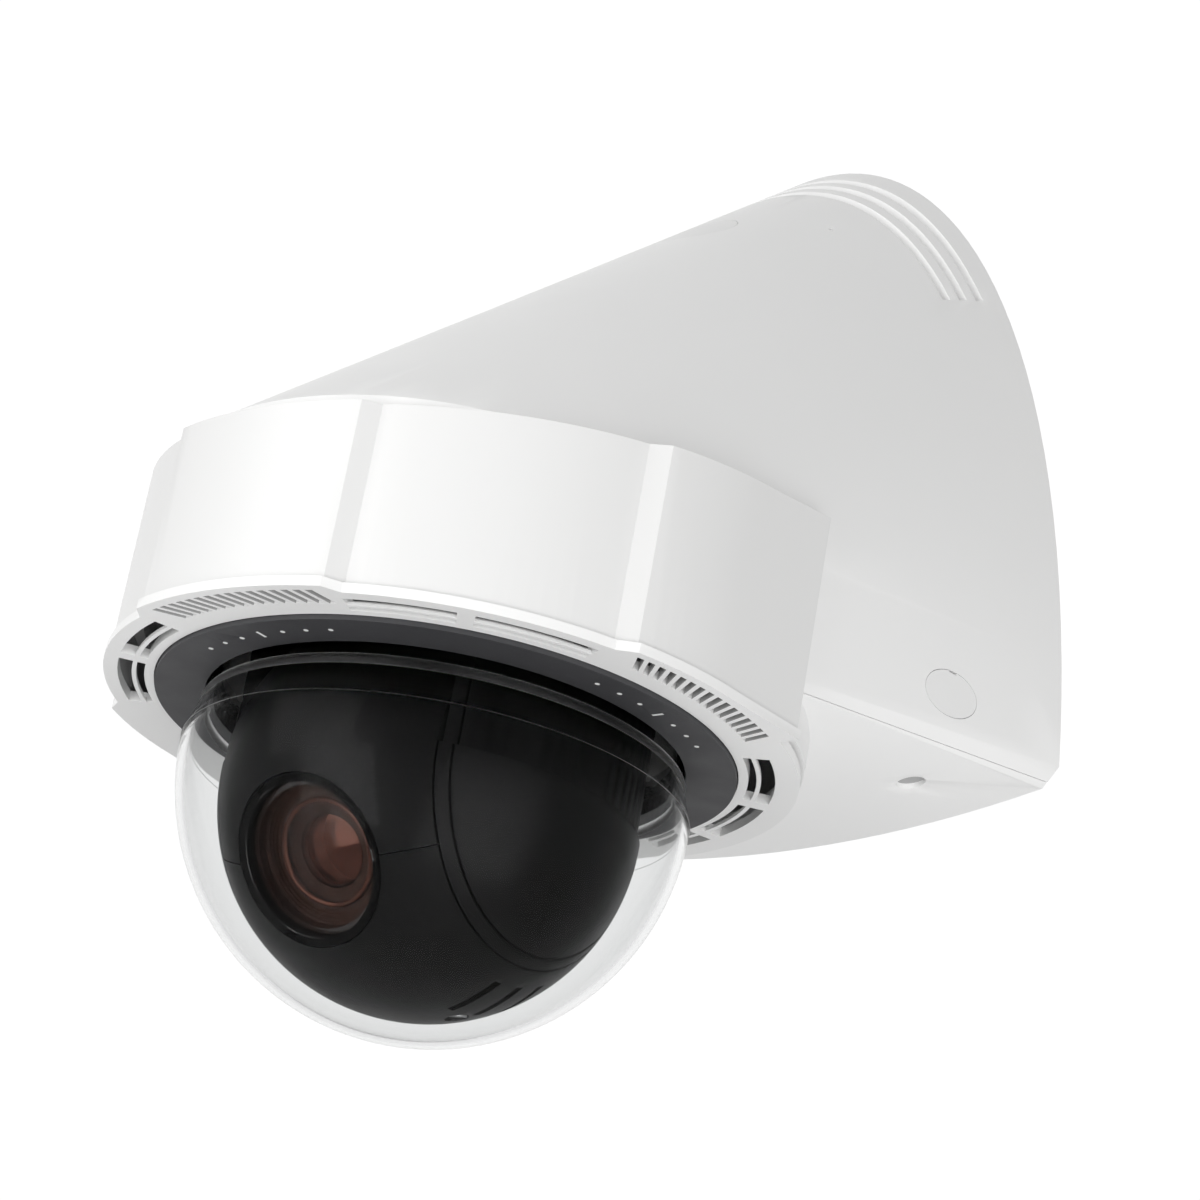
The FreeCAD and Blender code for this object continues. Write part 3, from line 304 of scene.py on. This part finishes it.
# fine line round the bowl's rim, its root a little way into the wall
EQUATOR_BEAD = 0.11
EQUATOR_ROOT = 0.02
# soft bead on the shoulder
SHOULDER_R = 60.5
SHOULDER_Z = -4.2
SHOULDER_HALF_R = 0.5
SHOULDER_HALF_Z = 1.3
SHOULDER_STEPS = 24
bubble_low, bubble_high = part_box("dome_bubble")
bubble_top = (bubble_high[2] - ring_foot.z) / mm
flange_r = (bubble_high[0] - bubble_low[0]) / 2 / mm
bowl_z = (bubble_low[2] - ring_foot.z) / mm + BOWL_R


def on_bubble(name, profile, stands_for, look):
    """Piece of the bubble, turned round the pan axis."""
    up = Vector((0, 0, 1))
    lathe(name, profile, "base", stands_for, look, ring_foot, up, BUBBLE_STEPS)


def quarter(r, z0, count):
    """Profile points of a bowl's quarter circle from its rim down to its lowest point."""
    turns = [math.pi / 2 * k / count for k in range(count + 1)]
    return [(r * math.cos(t), z0 - r * math.sin(t)) for t in turns]


outer_bowl = quarter(BOWL_R, bowl_z, BOWL_STEPS)
inner_bowl = quarter(BOWL_R - BUBBLE_T, bowl_z, BOWL_STEPS)
collar = [
    (COLLAR_R, COLLAR_FOOT),
    (COLLAR_R, bubble_top - FLANGE_T),
    (flange_r, bubble_top - FLANGE_T),
    (flange_r, bubble_top),
    (COLLAR_R - BUBBLE_T, bubble_top),
    (COLLAR_R - BUBBLE_T, COLLAR_FOOT),
]
equator = [
    (BOWL_R - EQUATOR_ROOT, bowl_z - EQUATOR_BEAD),
    (BOWL_R + EQUATOR_BEAD, bowl_z),
    (BOWL_R - EQUATOR_ROOT, bowl_z + EQUATOR_BEAD),
]
on_bubble("bubble", outer_bowl[::-1] + collar + inner_bowl, ["dome_bubble"], "bubble_clear")
on_bubble("bubble_equator", equator, [], "bubble_edge")
shoulder = oval(SHOULDER_R, SHOULDER_Z, SHOULDER_HALF_R, SHOULDER_HALF_Z, SHOULDER_STEPS)
on_bubble("bubble_shoulder", shoulder, [], "bubble_edge")

# ---------------------------------------------------------------- lens
# sizes in mm, distances along the lens axis from the tilt axis
# front glass, a cap on each side
FRONT_R = 17.3
FRONT_RIM = 42.0
FRONT_RISE = 4.1
FRONT_BACK_RIM = 41.4
FRONT_BACK_RISE = 2.2
FRONT_STEPS = 24
# seat round the front glass
SEAT_OUT_R = 18.7
SEAT_IN_R = 17.4
SEAT_FRONT = 44.6
SEAT_FOOT = 41.1
# barrel behind the seat
BARREL_R = 16.0
BARREL_IN_R = 14.4
BARREL_FRONT = 40.0
BARREL_REAR = -14.0
# mouth of the barrel: a funnel of steps, each a nearly flat tread and a riser
MOUTH_R = 17.35
MOUTH_FRONT = 41.0
MOUTH_STEPS = 9
STEP_IN = 0.96
STEP_BACK = 0.31
TREAD = 0.7
TREAD_FALL = 0.06
RISER_IN = 0.8
RISER_FALL = 0.3
FUNNEL_R = 8.6
FUNNEL_FOOT = 37.4
# second glass at the funnel's foot
ELEMENT_R = 8.5
ELEMENT_RIM = 38.3
ELEMENT_RISE = 2.3
ELEMENT_BACK = 37.5
ELEMENT_STEPS = 20
# coated ring part of the way down the funnel
RIM_R = 12.6
RIM_AT = 39.9
RIM_BEAD = 0.8
RIM_STEPS = 20
# polished edge of the lens ring
RING_EDGE_R = 19.15
RING_EDGE_AT = 47.3
RING_EDGE_BEAD = 0.25
RING_EDGE_STEPS = 12
joint = {j["name"]: j for j in record["behaviour"]["joints"]}
tilt_axis = Vector(joint["tilt"]["pos_m"])
lens_line = Vector(joint["zoom_slide"]["axis"]).normalized()


def cap(r, edge, rise, count):
    """Profile points of a lens face: a shallow cap from its rim at the given distance to its crown."""
    curve = (r * r + rise * rise) / (2 * rise)
    points = []
    for k in range(count + 1):
        q = r * (1 - k / count)
        height = math.sqrt(curve * curve - q * q) - (curve - rise)
        points.append((q, edge + height))
    return points


def on_lens(name, profile, stands_for, look):
    """Piece of the lens, turned round the lens axis."""
    lathe(name, profile, "head", stands_for, look, tilt_axis, lens_line, LENS_STEPS)


front_face = cap(FRONT_R, FRONT_RIM, FRONT_RISE, FRONT_STEPS)
front_back = cap(FRONT_R, FRONT_BACK_RIM, FRONT_BACK_RISE, FRONT_STEPS)
on_lens("front_element", front_face + front_back[::-1], ["front_glass"], "lens_front")

mouth = [(SEAT_OUT_R, SEAT_FRONT), (SEAT_IN_R, SEAT_FRONT), (SEAT_IN_R, SEAT_FOOT)]
for k in range(MOUTH_STEPS):
    r = MOUTH_R - k * STEP_IN
    d = MOUTH_FRONT - k * STEP_BACK
    mouth += [(r, d), (r - TREAD, d - TREAD_FALL), (r - RISER_IN, d - RISER_FALL)]
mouth += [
    (FUNNEL_R, FUNNEL_FOOT),
    (BARREL_IN_R, FUNNEL_FOOT),
    (BARREL_IN_R, BARREL_REAR),
    (BARREL_R, BARREL_REAR),
    (BARREL_R, BARREL_FRONT),
    (SEAT_OUT_R, BARREL_FRONT),
]
on_lens("barrel_mouth", mouth, ["lens_barrel"], "lens_wall")
ring_edge = oval(RING_EDGE_R, RING_EDGE_AT, RING_EDGE_BEAD, RING_EDGE_BEAD, RING_EDGE_STEPS)
on_lens("lens_ring_edge", ring_edge, [], "ring_edge")
element_rim = oval(RIM_R, RIM_AT, RIM_BEAD, RIM_BEAD, RIM_STEPS)
on_lens("element_rim", element_rim, [], "lens_rim")
element_face = cap(ELEMENT_R, ELEMENT_RIM, ELEMENT_RISE, ELEMENT_STEPS)
element_back = [(0.0, ELEMENT_BACK), (ELEMENT_R, ELEMENT_BACK)]
on_lens("second_element", element_face + element_back, [], "lens_coat")

# ---------------------------------------------------------------- softened edges, width in mm
EDGES = {
    "housing_shell": 0.5, "bottom_cover": 0.12, "side_plug_right": 0.15, "side_plug_left": 0.15,
    "top_plug": 0.2, "sunshield": 0.5, "trim_ring": 0.25, "scale_ring": 0.12, "scale_marks": 0.0,
    "turntable": 0.3, "yoke_arm_right": 0.3, "yoke_arm_left": 0.3,
    "cheek_cover_right": 1.0, "cheek_cover_left": 1.0, "head_shell_upper": 0.5, "head_shell_lower": 0.5,
    "lens_ring": 0.3, "wall_plate": 0.3,
}
made = {node: refine(node, width) for node, width in EDGES.items()}

# ---------------------------------------------------------------- painted shade on recess walls
DIMPLE_X = 78.6
DIMPLE_Y = 89.7
DIMPLE_REACH = 3.5        # just inside the dimples' wall
GRILLE_IN_R = 79.0        # band of the trim ring that holds the fins
GRILLE_OUT_R = 87.0
HOOD_Z = 16.0             # level of the shell's underside above the trim ring
HOOD_Z_SPAN = 2.0
HOOD_R = 92.0
SEAM_CLOSE = 0.2          # lift of the lower cover
# cosines that sort faces by the way they face
INWARD = 0.5
UPRIGHT = 0.5
SIDEWAYS = 0.6
DOWNWARD = 0.9
dimples = [at(side * DIMPLE_X, DIMPLE_Y, 0) for side in (-1, 1)]


def shade(node, inside):
    """Paints shade: gives the flat grey that stands in for an unlit recess to the faces of a piece that
    the test picks.
    """
    me = made[node].data
    me.materials.append(MAT["painted_shade_grey"])
    for poly in me.polygons:
        if inside(poly.center, poly.normal):
            poly.material_index = 1


def in_dimple(centre, normal):
    """Face inside one of the lower cover's two dimples."""
    return any((centre - d).xy.length < DIMPLE_REACH * mm for d in dimples)


def faces_inward(centre, normal):
    """Face that looks towards the pan axis."""
    out = (centre - ring_foot).xy
    return out.dot(normal.xy) < -INWARD * out.length


def on_grille_wall(centre, normal):
    """Side wall of a slot between two grille fins."""
    out = (centre - ring_foot).xy
    in_band = GRILLE_IN_R * mm < out.length < GRILLE_OUT_R * mm
    return in_band and abs(normal.z) < UPRIGHT and abs(out.normalized().dot(normal.xy)) < SIDEWAYS


def on_hood(centre, normal):
    """Underside of the housing shell's front, above the trim ring."""
    level = abs(centre.z - at(0, 0, HOOD_Z).z) < HOOD_Z_SPAN * mm
    return level and normal.z < -DOWNWARD and (centre - ring_foot).xy.length < HOOD_R * mm


# painted shade on the dimple floors, the sunshield's inner wall, the grille slot walls and the shell's
# underside above the trim ring
shade("bottom_cover", in_dimple)
shade("sunshield", faces_inward)
shade("trim_ring", on_grille_wall)
shade("housing_shell", on_hood)

# the lower cover's edge closes up to the shell, so the seam reads as a fine line
for v in made["bottom_cover"].data.vertices:
    v.co.z += SEAM_CLOSE * mm

# ---------------------------------------------------------------- camera
SENSOR = 36.0
LENS_LENGTH = 109.79
camera_place = at(563.37, -641.90, -302.38)
right = Vector((0.80562, 0.56813, 0.16795))
up = Vector((0.09301, -0.40127, 0.91123))
back = Vector((0.58508, -0.71848, -0.37611))
turn = Matrix((right, up, back)).transposed().to_4x4()
cam_data = bpy.data.cameras.new("camera")
cam_data.sensor_width = SENSOR
cam_data.lens = LENS_LENGTH
cam = bpy.data.objects.new("camera", cam_data)
scene.collection.objects.link(cam)
cam.matrix_world = Matrix.Translation(camera_place) @ turn
scene.camera = cam

# ---------------------------------------------------------------- backdrop
DIM = 0.39                # strength all round
BRIGHT = 1.04             # strength behind the object, as the camera sees it
DIM_COSINE = 0.70         # cosine of the angle from the camera's line of sight where the glow ends
BRIGHT_COSINE = 0.97      # and where it is full
scene.view_settings.view_transform = "Standard"
world = bpy.data.worlds.new("world")
scene.world = world
world.use_nodes = True
wt = world.node_tree
sky = wt.nodes["Background"]
sky.inputs["Color"].default_value = (1.0, 1.0, 1.0, 1)
toward = wt.nodes.new("ShaderNodeTexCoord")
facing = wt.nodes.new("ShaderNodeVectorMath")
facing.operation = "DOT_PRODUCT"
facing.inputs[1].default_value = -back
wt.links.new(toward.outputs["Generated"], facing.inputs[0])
glow = wt.nodes.new("ShaderNodeMapRange")
glow.interpolation_type = "SMOOTHSTEP"
glow.inputs["From Min"].default_value = DIM_COSINE
glow.inputs["From Max"].default_value = BRIGHT_COSINE
glow.inputs["To Min"].default_value = DIM
glow.inputs["To Max"].default_value = BRIGHT
wt.links.new(facing.outputs["Value"], glow.inputs["Value"])
wt.links.new(glow.outputs["Result"], sky.inputs["Strength"])

# ---------------------------------------------------------------- floor
FLOOR_HALF = 12.0
FLOOR_Z = -1.5
signs = ((-1, -1), (1, -1), (1, 1), (-1, 1))
floor_mesh = bpy.data.meshes.new("floor")
floor_mesh.from_pydata([(x * FLOOR_HALF, y * FLOOR_HALF, FLOOR_Z) for x, y in signs], [], [[0, 1, 2, 3]])
floor_mesh.materials.append(MAT["floor_white"])
floor = bpy.data.objects.new("floor", floor_mesh)
scene.collection.objects.link(floor)

# ---------------------------------------------------------------- soft lamps
# name, place in mm, side in metres, watts, shows in gloss
LAMPS = (
    ("key", (-440, -1376, 428), 1.1, 7.2, True),
    ("top", (-100, -900, 1200), 1.3, 2.0, True),
    ("low", (-100, -1350, -500), 0.9, 6.0, True),
    ("side", (1200, -500, -600), 1.3, 11.0, False),
    ("left", (-900, -900, -450), 0.9, 1.2, False),
)
lamp_aim = at(0, 20, 50)
for name, spot, size, power, in_gloss in LAMPS:
    lamp_data = bpy.data.lights.new(name, "AREA")
    lamp_data.shape = "SQUARE"
    lamp_data.size = size
    lamp_data.energy = power
    lamp = bpy.data.objects.new(name, lamp_data)
    scene.collection.objects.link(lamp)
    lamp.location = at(*spot)
    lamp.rotation_euler = (lamp_aim - at(*spot)).to_track_quat("-Z", "Y").to_euler()
    lamp.visible_camera = False
    lamp.visible_glossy = in_gloss
